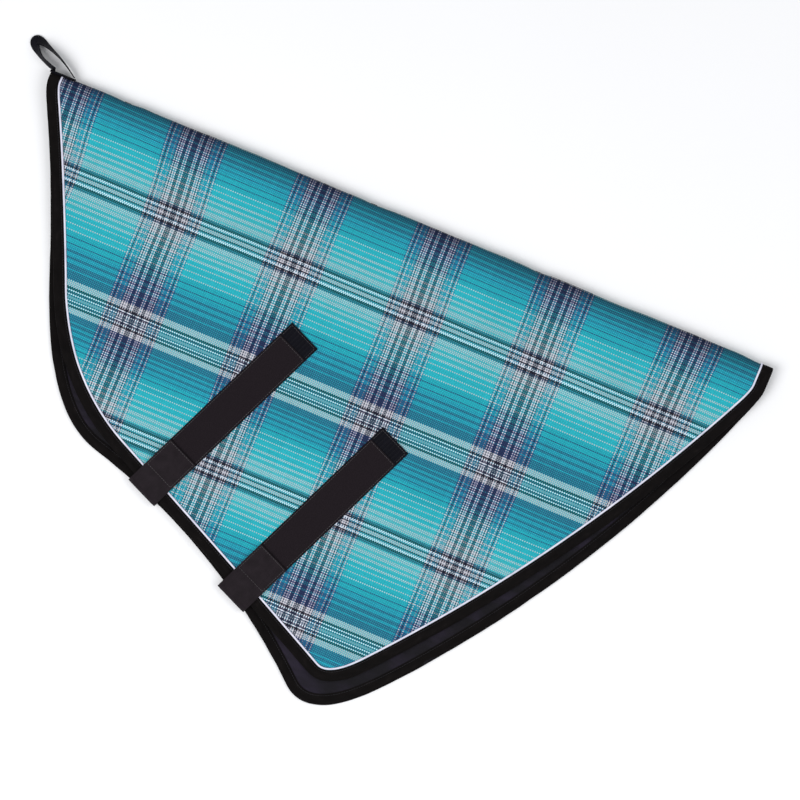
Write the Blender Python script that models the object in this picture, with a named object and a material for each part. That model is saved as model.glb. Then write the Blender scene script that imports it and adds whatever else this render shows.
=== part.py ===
"""Horse neck cover: a plaid mesh sheet folded along its crest, near half on top, closed by two straps.

X runs along the crest from the poll to the withers, +Y points from the throat towards the crest, and Z is up.
The cover lies on its off (right) half.
"""

import math

import bmesh
import bpy
from mathutils import Matrix, Vector

# --- Sizes, in metres ------------------------------------------------------------------------------------

# The line where cloth meets binding, from poll to withers. Both halves share the crest's length.
CREST_LENGTH = 1.024
CREST_STUB = 0.010

# Each half's throat and breast corners, before rounding: distance along the crest, and depth below it.
# The off half is pulled down past the near one, so that its edge shows.
NEAR_THROAT_X = 0.159
NEAR_THROAT_DEPTH = 0.378
NEAR_BREAST_X = 0.641
NEAR_BREAST_DEPTH = 0.616
OFF_THROAT_X = 0.156
OFF_THROAT_DROP = 0.040
OFF_BREAST_X = 0.636
OFF_BREAST_DROP = 0.049

# How far before and after each corner the line starts to turn.
POLL_ROUND = (0.006, 0.020)
NEAR_THROAT_ROUND = (0.127, 0.119)
OFF_THROAT_ROUND = (0.174, 0.079)
NEAR_BREAST_ROUND = (0.023, 0.055)
OFF_BREAST_ROUND = (0.042, 0.111)
WITHERS_ROUND = (0.022, 0.008)

# How far the head, throat and shoulder edges bow outwards. The off half lies a little gathered at the throat.
NEAR_BOWS = (-0.004, -0.002, 0.026)
OFF_BOWS = (-0.009, -0.041, 0.039)

# Cloth, tapes and the clearances between layers.
GAP = 0.0003
MESH = 0.0010
LINING = 0.0005
TAPE = 0.0008
BINDING_WIDTH = 0.0155
PIPING_WIDTH = 0.0027
PIPING_HEIGHT = 0.0016
HALF_LOFT = 0.0037

# Closure straps, of webbing and touch-and-close tape.
WEBBING = 0.0013
WEBBING_WIDTH = 0.050
HOOK_AND_LOOP = 0.0010
HOOK_AND_LOOP_WIDTH = 0.048
STRAP_TILT = math.radians(23.8)
STRAPS = {"throat": 0.315, "chest": 0.482}
STRIP_LENGTH = 0.303
STRIP_END_TAB = 0.023
TAB_LENGTH = 0.075
TAB_ANCHOR_LENGTH = 0.060
TAPE_MARGIN = 0.002

# Poll loop and the thread tacks along the crest.
LOOP_WIDTH = 0.016
LOOP_ROOT_WIDTH = 0.007
LOOP_FLARE = 0.012
LOOP_ANCHOR_X = (-0.017, 0.019)
LOOP_ANCHOR_TURN = math.radians(50)
LOOP_PATH = (
    (0.0160, 0.0030),
    (0.0065, 0.0095),
    (-0.0055, 0.0165),
    (-0.0200, 0.0235),
    (-0.0370, 0.0295),
    (-0.0485, 0.0320),
    (-0.0530, 0.0295),
    (-0.0505, 0.0240),
    (-0.0415, 0.0158),
    (-0.0320, 0.0095),
    (-0.0220, 0.0055),
    (-0.0130, 0.0034),
)
TACK_X = (0.096, 0.456, 0.696)
TACK_LENGTH = 0.008
TACK = 0.0008
TACK_TURN = math.radians(15)

# Levels, from the floor up. The off half's piping clears the tabs' webbing under it.
BINDING_LOW = WEBBING + GAP + PIPING_HEIGHT - TAPE
BINDING_HEIGHT = 2 * TAPE + 3 * GAP + MESH + LINING
MESH_LOW = BINDING_LOW + TAPE + GAP
LINING_LOW = MESH_LOW + MESH + GAP
FOLD_Z = BINDING_LOW + BINDING_HEIGHT + HALF_LOFT
FOLD_REACH = FOLD_Z - BINDING_LOW
FOLD_Y = -FOLD_REACH

FOLD_STEPS = 12
LINE_STEPS = 7
LOOP_STEPS = 5

COLOURS = {
    "mesh": ((0.012, 0.400, 0.480, 1), 0.55),
    "lining": ((0.020, 0.014, 0.032, 1), 0.35),
    "tape": ((0.008, 0.006, 0.006, 1), 0.80),
    "webbing": ((0.020, 0.017, 0.020, 1), 0.85),
    "hook_and_loop": ((0.016, 0.014, 0.017, 1), 0.95),
    "piping": ((0.780, 0.780, 0.850, 1), 0.45),
    "thread": ((0.006, 0.006, 0.010, 1), 0.70),
}


# --- Lines -----------------------------------------------------------------------------------------------


def bezier(start, control, end, t):
    return start * (1 - t) ** 2 + control * (2 * t * (1 - t)) + end * t**2


def tangent(start, control, end, t):
    return ((control - start) * (1 - t) + (end - control) * t).normalized()


def crossing(point, direction, other, other_direction):
    """Where two lines in the plane meet."""
    between = other - point
    turn = direction.x * other_direction.y - direction.y * other_direction.x
    reach = (between.x * other_direction.y - between.y * other_direction.x) / turn
    return point + direction * reach


def rounded_line(corners, rounds, bows):
    """A line through corners, each turn rounded and each edge bowed outwards."""
    edges = []
    for start, end, bow in zip(corners, corners[1:], bows):
        along = (end - start).normalized()
        outward = Vector((along.y, -along.x))
        edges.append((start, (start + end) / 2 + outward * 2 * bow, end, (end - start).length))
    line = []
    for i, (start, control, end, length) in enumerate(edges):
        first = rounds[i - 1][1] / length if i else 0
        last = 1 - rounds[i][0] / length if i < len(rounds) else 1
        for step in range(LINE_STEPS + 1):
            line.append(bezier(start, control, end, first + (last - first) * step / LINE_STEPS))
        if i < len(rounds):
            following = edges[i + 1]
            after = rounds[i][1] / following[3]
            leave = bezier(start, control, end, last)
            arrive = bezier(*following[:3], after)
            knee = crossing(
                leave, tangent(start, control, end, last), arrive, tangent(*following[:3], after)
            )
            for step in range(1, LINE_STEPS):
                line.append(bezier(leave, knee, arrive, step / LINE_STEPS))
    return line


def seam_line(throat, breast, throat_round, breast_round, bows):
    """A half's seam between cloth and binding, from the fold at the poll round to the fold at the withers."""
    fold = FOLD_Y - GAP
    corners = [
        Vector((0, fold)),
        Vector((0, fold - CREST_STUB)),
        Vector(throat),
        Vector(breast),
        Vector((CREST_LENGTH, fold - CREST_STUB - WITHERS_ROUND[0])),
        Vector((CREST_LENGTH, fold)),
    ]
    rounds = [POLL_ROUND, throat_round, breast_round, WITHERS_ROUND]
    return rounded_line(corners, rounds, [0, *bows, 0])


def outwards(line):
    """The outward direction at each point of a line. It stays along the crest at both ends."""
    found = []
    for i in range(len(line)):
        before = line[max(i - 1, 0)]
        after = line[min(i + 1, len(line) - 1)]
        along = (after - before).normalized()
        found.append(Vector((along.y, -along.x)))
    found[0] = Vector((-1, 0))
    found[-1] = Vector((1, 0))
    return found


def offset(line, distance):
    return [point + out * distance for point, out in zip(line, outwards(line))]


def smooth_path(points, steps):
    """A Catmull-Rom curve through points in the plane."""
    points = [Vector(p) for p in points]
    padded = [2 * points[0] - points[1]] + points + [2 * points[-1] - points[-2]]
    path = [points[0]]
    for a, b, c, d in zip(padded, padded[1:], padded[2:], padded[3:]):
        for step in range(1, steps + 1):
            t = step / steps
            cubic = (3 * b - a - 3 * c + d) * t**3
            square = (2 * a - 5 * b + 4 * c - d) * t**2
            path.append((2 * b + (c - a) * t + square + cubic) / 2)
    return path


# --- Solids ----------------------------------------------------------------------------------------------


def material(kind, name):
    colour, roughness = COLOURS[kind]
    made = bpy.data.materials.new(name)
    made.use_nodes = True
    shader = made.node_tree.nodes["Principled BSDF"]
    shader.inputs["Base Color"].default_value = colour
    shader.inputs["Roughness"].default_value = roughness
    shader.inputs["Metallic"].default_value = 0.0
    made.diffuse_color = colour
    return made


def add(name, kind, mesh, pivot):
    """An object with its origin on pivot and its own material."""
    edited = bmesh.new()
    edited.from_mesh(mesh)
    bmesh.ops.recalc_face_normals(edited, faces=edited.faces)
    bmesh.ops.transform(edited, matrix=Matrix.Translation(-pivot), verts=edited.verts)
    edited.to_mesh(mesh)
    edited.free()
    made = bpy.data.objects.new(name, mesh)
    made.location = pivot
    made.data.materials.append(material(kind, name + "_finish"))
    bpy.context.collection.objects.link(made)
    return made


def lofted(name, kind, rings, pivot):
    """A solid through rings of the same number of points, with flat ends."""
    count = len(rings[0])
    points = [point for ring in rings for point in ring]
    faces = [list(range(count)), list(range(len(points) - count, len(points)))]
    for ring in range(len(rings) - 1):
        for i in range(count):
            j = (i + 1) % count
            low = ring * count
            faces.append([low + i, low + j, low + count + j, low + count + i])
    mesh = bpy.data.meshes.new(name)
    mesh.from_pydata(points, [], faces)
    return add(name, kind, mesh, pivot)


def sheet(name, kind, outline, low, thickness, pivot):
    """A flat layer of cloth."""
    rings = [[(p.x, p.y, z) for p in outline] for z in (low, low + thickness)]
    return lofted(name, kind, rings, pivot)


def edging(name, kind, line, profile, pivot):
    """A profile of (distance outwards, height) pairs, swept along a line."""
    rings = []
    for point, out in zip(line, outwards(line)):
        rings.append([(point.x + out.x * r, point.y + out.y * r, z) for r, z in profile])
    return lofted(name, kind, rings, pivot)


def turned(name, kind, profile, turn, pivot):
    """A profile of (x, distance from the fold's axis) pairs, turned by plus and minus turn over the crest."""
    rings = []
    for step in range(FOLD_STEPS + 1):
        angle = turn * (2 * step / FOLD_STEPS - 1)
        rings.append(
            [(x, FOLD_Y + r * math.cos(angle), FOLD_Z + r * math.sin(angle)) for x, r in profile]
        )
    return lofted(name, kind, rings, pivot)


def binding_profile(low):
    """A tape folded round the edge: two legs and the wall between them."""
    high = low + BINDING_HEIGHT
    wall = BINDING_WIDTH - TAPE
    return [
        (0, low),
        (BINDING_WIDTH, low),
        (BINDING_WIDTH, high),
        (0, high),
        (0, high - TAPE),
        (wall, high - TAPE),
        (wall, low + TAPE),
        (0, low + TAPE),
    ]


def box_profile(inner, outer, low, high):
    return [(inner, low), (outer, low), (outer, high), (inner, high)]


# --- Sub-parts -------------------------------------------------------------------------------------------


def half(side, seam, mesh_low, lining_low, binding_low, piping_low, pivot):
    """One side of the cover: mesh, lining, binding and piping."""
    cloth = offset(seam, BINDING_WIDTH - TAPE - GAP)
    sheet(side + "_mesh", "mesh", cloth, mesh_low, MESH, pivot)
    sheet(side + "_lining", "lining", cloth, lining_low, LINING, pivot)
    edging(side + "_binding", "tape", seam, binding_profile(binding_low), pivot)
    bead = box_profile(-GAP - PIPING_WIDTH, -GAP, piping_low, piping_low + PIPING_HEIGHT)
    edging(side + "_piping", "piping", seam, bead, pivot)


def crest(pivot):
    """What turns over the fold between the two halves."""
    inset = BINDING_WIDTH - TAPE - GAP
    start, end = -inset, CREST_LENGTH + inset
    quarter = math.radians(90)
    mesh_reach = FOLD_Z - MESH_LOW
    lining_reach = FOLD_Z - LINING_LOW
    mesh = box_profile(start, end, mesh_reach - MESH, mesh_reach)
    turned("crest_mesh_fold", "mesh", mesh, quarter, pivot)
    lining = box_profile(start, end, lining_reach - LINING, lining_reach)
    turned("crest_lining_fold", "lining", lining, quarter, pivot)
    for name, seam_x, side in (("poll", 0, -1), ("withers", CREST_LENGTH, 1)):
        profile = [(seam_x + side * r, FOLD_Z - z) for r, z in binding_profile(BINDING_LOW)]
        turned(name + "_binding_fold", "tape", profile, quarter, pivot)
    for number, x in enumerate(TACK_X, start=1):
        low = mesh_reach + GAP
        tack = box_profile(x - TACK_LENGTH / 2, x + TACK_LENGTH / 2, low, low + TACK)
        turned(f"crest_tack_{number}", "thread", tack, TACK_TURN, pivot)
    patch = box_profile(*LOOP_ANCHOR_X, FOLD_REACH + GAP, FOLD_REACH + GAP + WEBBING)
    turned("poll_loop_anchor", "webbing", patch, LOOP_ANCHOR_TURN, pivot)


def poll_loop(pivot):
    """A webbing loop that stands on its edge beside the poll, gathered at both stitched ends."""
    path = smooth_path(LOOP_PATH, LOOP_STEPS)
    rings = []
    for i, point in enumerate(path):
        along = (path[min(i + 1, len(path) - 1)] - path[max(i - 1, 0)]).normalized()
        from_root = min((point - path[0]).length, (point - path[-1]).length)
        flare = min(from_root / LOOP_FLARE, 1)
        low = (FOLD_Z - LOOP_ROOT_WIDTH / 2) * (1 - flare)
        high = (FOLD_Z + LOOP_ROOT_WIDTH / 2) * (1 - flare) + LOOP_WIDTH * flare
        profile = box_profile(-WEBBING / 2, WEBBING / 2, low, high)
        rings.append([(point.x + along.y * r, point.y - along.x * r, z) for r, z in profile])
    lofted("poll_loop", "webbing", rings, pivot)


def strap_frame(x, edge):
    """The strap's foot on the off side's edge, its direction up the neck and its direction across."""
    for before, after in zip(edge, edge[1:]):
        if before.x <= x <= after.x and after.x > before.x:
            foot = before.lerp(after, (x - before.x) / (after.x - before.x))
            break
    along = Vector((math.sin(STRAP_TILT), math.cos(STRAP_TILT)))
    return foot, along, Vector((along.y, -along.x))


def reach_in_band(line, foot, along, across, width):
    """The least and greatest distance up the strap at which a line crosses its band."""
    found = []
    for before, after in zip(line, line[1:]):
        start, end = (before - foot).dot(across), (after - foot).dot(across)
        for side in (start, end, -width / 2, width / 2):
            if abs(side) <= width / 2 and min(start, end) <= side <= max(start, end) and start != end:
                point = before.lerp(after, (side - start) / (end - start))
                if abs((point - foot).dot(along)) < width:
                    found.append((point - foot).dot(along))
    return min(found), max(found)


def strap_piece(name, kind, profile, width, frame, pivot):
    """A profile of (distance up the strap, height) pairs, as wide as the strap."""
    foot, along, across = frame
    rings = []
    for side in (-width / 2, width / 2):
        rings.append(
            [(*(foot + along * d + across * side), z) for d, z in profile],
        )
    return lofted(name, kind, rings, pivot)


def closure(name, x, off_edge, near_seam, off_pivot, near_pivot, strip_low):
    """A landing strip on the near side, and the tab that comes round both edges from under the off side."""
    frame = strap_frame(x, off_edge)
    outer = reach_in_band(off_edge, *frame, WEBBING_WIDTH)[0] - GAP
    start = reach_in_band(near_seam, *frame, WEBBING_WIDTH)[1] + PIPING_WIDTH + 2 * GAP

    loop_low = strip_low + WEBBING + GAP
    hook_low = loop_low + HOOK_AND_LOOP + GAP
    tab_low = hook_low + HOOK_AND_LOOP + GAP

    strip = box_profile(start, STRIP_LENGTH, strip_low, strip_low + WEBBING)
    strap_piece(name + "_strip_backing", "webbing", strip, WEBBING_WIDTH, frame, near_pivot)
    loops = box_profile(
        start + TAPE_MARGIN, STRIP_LENGTH - STRIP_END_TAB, loop_low, loop_low + HOOK_AND_LOOP
    )
    strap_piece(
        name + "_strip_loop_tape", "hook_and_loop", loops, HOOK_AND_LOOP_WIDTH, frame, near_pivot
    )

    wrap = [
        (outer - WEBBING, 0),
        (TAB_ANCHOR_LENGTH, 0),
        (TAB_ANCHOR_LENGTH, WEBBING),
        (outer, WEBBING),
        (outer, tab_low - GAP),
        (outer - WEBBING, tab_low - GAP),
    ]
    strap_piece(name + "_tab_anchor", "webbing", wrap, WEBBING_WIDTH, frame, off_pivot)

    foot, along, across = frame
    hinge = foot + along * (outer - WEBBING)
    tab_pivot = Vector((hinge.x, hinge.y, tab_low - GAP / 2))
    tab = box_profile(outer - WEBBING, TAB_LENGTH, tab_low, tab_low + WEBBING)
    strap_piece(name + "_tab_webbing", "webbing", tab, WEBBING_WIDTH, frame, tab_pivot)
    hooks = box_profile(
        start + TAPE_MARGIN, TAB_LENGTH - TAPE_MARGIN, hook_low, hook_low + HOOK_AND_LOOP
    )
    strap_piece(name + "_tab_hook_tape", "hook_and_loop", hooks, HOOK_AND_LOOP_WIDTH, frame, tab_pivot)


def centre_on_floor():
    """Hangs every object on one empty, so that the origin is the middle of the cover's footprint."""
    bpy.context.view_layer.update()
    parts = [o for o in bpy.data.objects if o.type == "MESH"]
    corners = [o.matrix_world @ Vector(corner) for o in parts for corner in o.bound_box]
    low = Vector([min(c[i] for c in corners) for i in range(3)])
    high = Vector([max(c[i] for c in corners) for i in range(3)])
    frame = bpy.data.objects.new("frame", None)
    bpy.context.collection.objects.link(frame)
    frame.location = (-(low.x + high.x) / 2, -(low.y + high.y) / 2, -low.z)
    for part in parts:
        part.parent = frame


def main():
    for old in list(bpy.data.objects):
        bpy.data.objects.remove(old)

    off_pivot = Vector((0, 0, 0))
    fold_pivot = Vector((0, FOLD_Y, FOLD_Z))
    off_seam = seam_line(
        (OFF_THROAT_X, -NEAR_THROAT_DEPTH - OFF_THROAT_DROP),
        (OFF_BREAST_X, -NEAR_BREAST_DEPTH - OFF_BREAST_DROP),
        OFF_THROAT_ROUND,
        OFF_BREAST_ROUND,
        OFF_BOWS,
    )
    near_seam = seam_line(
        (NEAR_THROAT_X, -NEAR_THROAT_DEPTH),
        (NEAR_BREAST_X, -NEAR_BREAST_DEPTH),
        NEAR_THROAT_ROUND,
        NEAR_BREAST_ROUND,
        NEAR_BOWS,
    )
    off_piping_low = MESH_LOW - GAP - PIPING_HEIGHT
    half("off_side", off_seam, MESH_LOW, LINING_LOW, BINDING_LOW, off_piping_low, off_pivot)

    # The near half is the off half's stack mirrored in the fold's plane.
    near_mesh_low = 2 * FOLD_Z - MESH_LOW - MESH
    near_lining_low = 2 * FOLD_Z - LINING_LOW - LINING
    near_binding_low = 2 * FOLD_Z - BINDING_LOW - BINDING_HEIGHT
    near_top = near_mesh_low + MESH + GAP
    half("near_side", near_seam, near_mesh_low, near_lining_low, near_binding_low, near_top, fold_pivot)

    crest(fold_pivot)
    poll_loop(fold_pivot)
    off_edge = offset(off_seam, BINDING_WIDTH)
    for name, x in STRAPS.items():
        closure(name, x, off_edge, near_seam, off_pivot, fold_pivot, near_top)
    centre_on_floor()


main()
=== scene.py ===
"""Looks of a horse neck cover: plaid mesh folded along the crest, lined, bound and piped, with two straps.

Lengths are in metres. The neck cover's own places run along the crest from the poll (x) and down from the
fold's outermost line (-y). ORIGIN is where that corner lies in the shared frame.
"""

import math

import bmesh
import bpy
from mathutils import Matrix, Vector, noise
from mathutils.geometry import delaunay_2d_cdt

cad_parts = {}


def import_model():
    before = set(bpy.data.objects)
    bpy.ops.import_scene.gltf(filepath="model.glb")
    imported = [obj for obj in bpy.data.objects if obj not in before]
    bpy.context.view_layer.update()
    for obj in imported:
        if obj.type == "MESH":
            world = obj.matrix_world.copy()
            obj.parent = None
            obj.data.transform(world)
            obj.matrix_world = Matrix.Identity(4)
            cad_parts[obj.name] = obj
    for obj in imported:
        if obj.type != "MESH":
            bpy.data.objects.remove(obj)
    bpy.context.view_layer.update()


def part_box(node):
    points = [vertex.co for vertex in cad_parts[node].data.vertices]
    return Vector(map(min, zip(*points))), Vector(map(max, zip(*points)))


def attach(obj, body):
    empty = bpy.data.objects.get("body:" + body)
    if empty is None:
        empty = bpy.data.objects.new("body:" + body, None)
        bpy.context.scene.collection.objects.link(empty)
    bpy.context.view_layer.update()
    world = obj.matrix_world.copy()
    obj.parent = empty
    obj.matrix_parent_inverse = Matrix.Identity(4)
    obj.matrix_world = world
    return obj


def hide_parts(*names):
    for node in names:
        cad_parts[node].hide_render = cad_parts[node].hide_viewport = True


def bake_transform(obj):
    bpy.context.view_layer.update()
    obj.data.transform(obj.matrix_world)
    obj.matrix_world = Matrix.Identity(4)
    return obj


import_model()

# --- Sizes shared with the CAD model ---

CREST_LENGTH = 1.024
CREST_STUB = 0.01
NEAR_CORNERS = ((0.159, -0.378), (0.641, -0.616))
OFF_CORNERS = ((0.156, -0.418), (0.636, -0.665))
POLL_ROUND = (0.006, 0.02)
NEAR_ROUNDS = ((0.127, 0.119), (0.023, 0.055))
OFF_ROUNDS = ((0.174, 0.079), (0.042, 0.111))
WITHERS_ROUND = (0.022, 0.008)
NEAR_BOWS = (-0.004, -0.002, 0.026)
OFF_BOWS = (-0.009, -0.041, 0.039)

GAP = 0.0003
MESH = 0.001
LINING = 0.0005
TAPE = 0.0008
BINDING_WIDTH = 0.0155
BINDING_HEIGHT = 2 * TAPE + 3 * GAP + MESH + LINING
INSET = BINDING_WIDTH - TAPE - GAP
PIPING_WIDTH = 0.0027
WEBBING = 0.0013
WEBBING_WIDTH = 0.05
HOOK_AND_LOOP = 0.001
HOOK_AND_LOOP_WIDTH = 0.048
WEB_SIZE = (WEBBING_WIDTH, WEBBING)
PILE_SIZE = (HOOK_AND_LOOP_WIDTH, HOOK_AND_LOOP)
STRAP_TILT = math.radians(23.8)
STRAPS = {"throat": 0.315, "chest": 0.482}
STRIP_LENGTH = 0.303
STRIP_END_TAB = 0.023
TAB_LENGTH = 0.075
TAB_ANCHOR_LENGTH = 0.06
TAPE_MARGIN = 0.002
TACK_TURN = math.radians(15)

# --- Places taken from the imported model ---

poll_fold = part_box("poll_binding_fold")
ORIGIN = Vector((poll_fold[1].x, poll_fold[1].y, 0))
FOLD_Z = (poll_fold[0].z + poll_fold[1].z) / 2
FOLD_Y = -(poll_fold[1].z - poll_fold[0].z) / 2


def underside(node):
    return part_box(node)[0].z


OFF_MESH_LOW = underside("off_side_mesh")
OFF_LINING_LOW = underside("off_side_lining")
OFF_BINDING_LOW = underside("off_side_binding")
BEAD_MIDDLE = 0.0007
NEAR_BEAD = underside("near_side_piping") + BEAD_MIDDLE
OFF_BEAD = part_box("off_side_piping")[1].z - BEAD_MIDDLE
STRIP_LOW = underside("throat_strip_backing")
LOOP_TAPE_LOW = underside("throat_strip_loop_tape")
HOOK_TAPE_LOW = underside("throat_tab_hook_tape")
TAB_LOW = underside("throat_tab_webbing")

# --- How the cloth lies ---

SAG = 0.004
OFF_SETTLE = 0.0014
CREST_HOLD = 0.09
WAVE = 0.0014
EDGE_WAVE = 0.0011
CLOTH_GRID = 0.006
LINING_GRID = 0.008
STRAP_SIDE = (0.028, 0.075)
SEAM_STEP = 0.004
FOLD_STEPS = 8
FOLD_TURN = 0.007
FOLD_PARTS = {"under": -90, "over": 0}
TACK_PULL = 0.014
STITCH_PITCH = 0.0036
STITCH_SHARE = 0.8
THREAD = 0.00028
THREAD_SIDES = 6
RIBBON_ACROSS = 9
RIBBON_EDGE = 0.45
BINDING_STITCHES = 0.0026
BINDING_PUCKER = 0.00013
BINDING_WAVER = 0.0004
BEAD_HALF = 0.00105
BEAD_SIDES = 12
# How far the binding's face dips at places out from its inner edge: its lip, its row of stitches and its swell.
BINDING_DIPS = (
    (0.0, 0.0003), (0.0012, 0.00005), (0.0026, 0.00035), (0.0046, 0.0), (0.0085, -0.0001),
    (0.0118, 0.00005),
)


# --- Lines ---


def bezier(start, control, end, t):
    return start * (1 - t) ** 2 + control * (2 * t * (1 - t)) + end * t**2


def tangent(start, control, end, t):
    return ((control - start) * (1 - t) + (end - control) * t).normalized()


def crossing(point, direction, other, other_direction):
    """Where two lines in the plane meet."""
    apart = other - point
    turn = direction.x * other_direction.y - direction.y * other_direction.x
    reach = (apart.x * other_direction.y - apart.y * other_direction.x) / turn
    return point + direction * reach


def rounded_line(corners, rounds, bows, steps=24):
    """A line through corners, each turn rounded and each edge bowed outwards."""
    edges = []
    for start, end, bow in zip(corners, corners[1:], bows):
        along = (end - start).normalized()
        outward = Vector((along.y, -along.x))
        edges.append((start, (start + end) / 2 + outward * 2 * bow, end, (end - start).length))
    line = []
    for i, (start, control, end, length) in enumerate(edges):
        first = rounds[i - 1][1] / length if i else 0
        last = 1 - rounds[i][0] / length if i < len(rounds) else 1
        for step in range(steps + 1):
            line.append(bezier(start, control, end, first + (last - first) * step / steps))
        if i < len(rounds):
            following = edges[i + 1]
            after = rounds[i][1] / following[3]
            leave = bezier(start, control, end, last)
            arrive = bezier(*following[:3], after)
            knee = crossing(
                leave, tangent(start, control, end, last), arrive, tangent(*following[:3], after)
            )
            for step in range(1, steps):
                line.append(bezier(leave, knee, arrive, step / steps))
    return line


def spaced(path, step):
    """The same path with its points about step apart."""
    lengths = [0.0]
    for before, after in zip(path, path[1:]):
        lengths.append(lengths[-1] + (after - before).length)
    count = max(round(lengths[-1] / step), 1)
    found = []
    piece = 0
    for i in range(count + 1):
        wanted = lengths[-1] * i / count
        while piece < len(path) - 2 and lengths[piece + 1] < wanted:
            piece += 1
        stretch = lengths[piece + 1] - lengths[piece]
        share = (wanted - lengths[piece]) / stretch if stretch else 0
        found.append(path[piece].lerp(path[piece + 1], min(max(share, 0), 1)))
    return found


def seam_line(corners, rounds, bows):
    """A half's seam between cloth and binding, from the fold at the poll round to the fold at the withers."""
    points = [
        Vector((0, FOLD_Y)),
        Vector((0, FOLD_Y - CREST_STUB)),
        Vector(corners[0]),
        Vector(corners[1]),
        Vector((CREST_LENGTH, FOLD_Y - CREST_STUB - WITHERS_ROUND[0])),
        Vector((CREST_LENGTH, FOLD_Y)),
    ]
    line = rounded_line(points, [POLL_ROUND, *rounds, WITHERS_ROUND], [0, *bows, 0])
    return spaced(line, SEAM_STEP)


def direction(path, i):
    return (path[min(i + 1, len(path) - 1)] - path[max(i - 1, 0)]).normalized()


def outwards(line):
    """The outward direction at each point of a line. It stays along the crest at both ends."""
    found = []
    for i in range(len(line)):
        along = direction(line, i)
        found.append(Vector((along.y, -along.x)))
    found[0] = Vector((-1, 0))
    found[-1] = Vector((1, 0))
    return found


def offset(line, distance):
    return [point + out * distance for point, out in zip(line, outwards(line))]


def smooth_path(points, steps):
    """A Catmull-Rom curve through points."""
    points = [Vector(p) for p in points]
    extended = [2 * points[0] - points[1]] + points + [2 * points[-1] - points[-2]]
    path = [points[0]]
    for a, b, c, d in zip(extended, extended[1:], extended[2:], extended[3:]):
        for step in range(1, steps + 1):
            t = step / steps
            cubic = (3 * b - a - 3 * c + d) * t**3
            square = (2 * a - 5 * b + 4 * c - d) * t**2
            path.append((2 * b + (c - a) * t + square + cubic) / 2)
    return path


def strap_frame(x, edge):
    """The strap's foot on the off side's edge, its direction up the neck and its direction across."""
    for before, after in zip(edge, edge[1:]):
        if before.x <= x <= after.x and after.x > before.x:
            foot = before.lerp(after, (x - before.x) / (after.x - before.x))
            break
    along = Vector((math.sin(STRAP_TILT), math.cos(STRAP_TILT)))
    return foot, along, Vector((along.y, -along.x))


def reach_in_band(line, foot, along, across, width):
    """The least and greatest distance up the strap at which a line crosses its band."""
    found = []
    for before, after in zip(line, line[1:]):
        start, end = (before - foot).dot(across), (after - foot).dot(across)
        for side in (start, end, -width / 2, width / 2):
            if abs(side) <= width / 2 and min(start, end) <= side <= max(start, end) and start != end:
                point = before.lerp(after, (side - start) / (end - start))
                if abs((point - foot).dot(along)) < width:
                    found.append((point - foot).dot(along))
    return min(found), max(found)


NEAR_SEAM = seam_line(NEAR_CORNERS, NEAR_ROUNDS, NEAR_BOWS)
OFF_SEAM = seam_line(OFF_CORNERS, OFF_ROUNDS, OFF_BOWS)
OFF_EDGE = offset(OFF_SEAM, BINDING_WIDTH)
STRAP_FRAMES = {name: strap_frame(x, OFF_EDGE) for name, x in STRAPS.items()}


# --- How high each point lies above its flat place ---


def smooth_step(value, low, high):
    t = min(max((value - low) / (high - low), 0), 1)
    return t * t * (3 - 2 * t)


def ripple(x, y, seed, scale=9.0):
    """A gentle unevenness, about -1 to 1."""
    broad = noise.noise((x * scale, y * scale, seed))
    fine = noise.noise((x * scale * 2.6, y * scale * 2.6, seed + 5.5))
    return broad + 0.3 * fine


def edge_distance(x, y):
    """How far a place lies inside the off side's seam."""
    place = Vector((x, y))
    return min((place - point).length for point in OFF_SEAM[::3]) + BINDING_WIDTH


def beside_strap(x, y):
    """1 on a strap's band, falling to 0 away from it."""
    found = 0.0
    for foot, _, across in STRAP_FRAMES.values():
        aside = abs((Vector((x, y)) - foot).dot(across))
        found = max(found, 1 - smooth_step(aside, *STRAP_SIDE))
    return found


# Soft folds in the near half: where each starts and ends, its height and its width.
SOFT_FOLDS = (
    ((0.395, -0.02), (0.29, -0.27), 0.0021, 0.013),
    ((0.405, -0.02), (0.35, -0.12), -0.0012, 0.01),
    ((0.6, -0.018), (0.56, -0.13), 0.0013, 0.01),
    ((0.125, -0.018), (0.105, -0.11), 0.0014, 0.01),
    ((0.06, -0.25), (0.24, -0.33), 0.0016, 0.011),
    ((0.11, -0.33), (0.25, -0.385), 0.0019, 0.009),
    ((0.14, -0.3), (0.26, -0.3), -0.0014, 0.012),
    ((0.82, -0.34), (0.96, -0.18), 0.0013, 0.016),
)


def soft_folds(x, y):
    place = Vector((x, y))
    rise = 0.0
    for start, end, height, width in SOFT_FOLDS:
        start = Vector(start)
        along = Vector(end) - start
        share = (place - start).dot(along) / along.length_squared
        if -0.15 < share < 1.15:
            aside = (place - start - along * share).length / width
            fade = smooth_step(share, -0.15, 0.25) * (1 - smooth_step(share, 0.6, 1.15))
            rise += height * fade * math.exp(-aside * aside)
    return rise


def near_lift(x, y):
    """The near half hangs a little towards the off half away from the fold, in soft waves."""
    below = FOLD_Y - y
    free = smooth_step(below, 0, CREST_HOLD)
    edge = smooth_step(below, 0.1, 0.45)
    waves = WAVE * ripple(x, y, 1.7) + EDGE_WAVE * edge * ripple(x, y, 8.3, 17.0)
    creases = (1 - beside_strap(x, y)) * smooth_step(below, 0, 0.03) * soft_folds(x, y)
    return free * (-SAG + waves) + creases


def off_lift(x, y):
    """The off half settles on the floor, apart from where the straps pass under it."""
    free = smooth_step(FOLD_Y - y, 0, CREST_HOLD / 2)
    return free * (-OFF_SETTLE * (1 - beside_strap(x, y)) + 0.0003 * (1 + ripple(x, y, 4.1, 12.0)))


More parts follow.
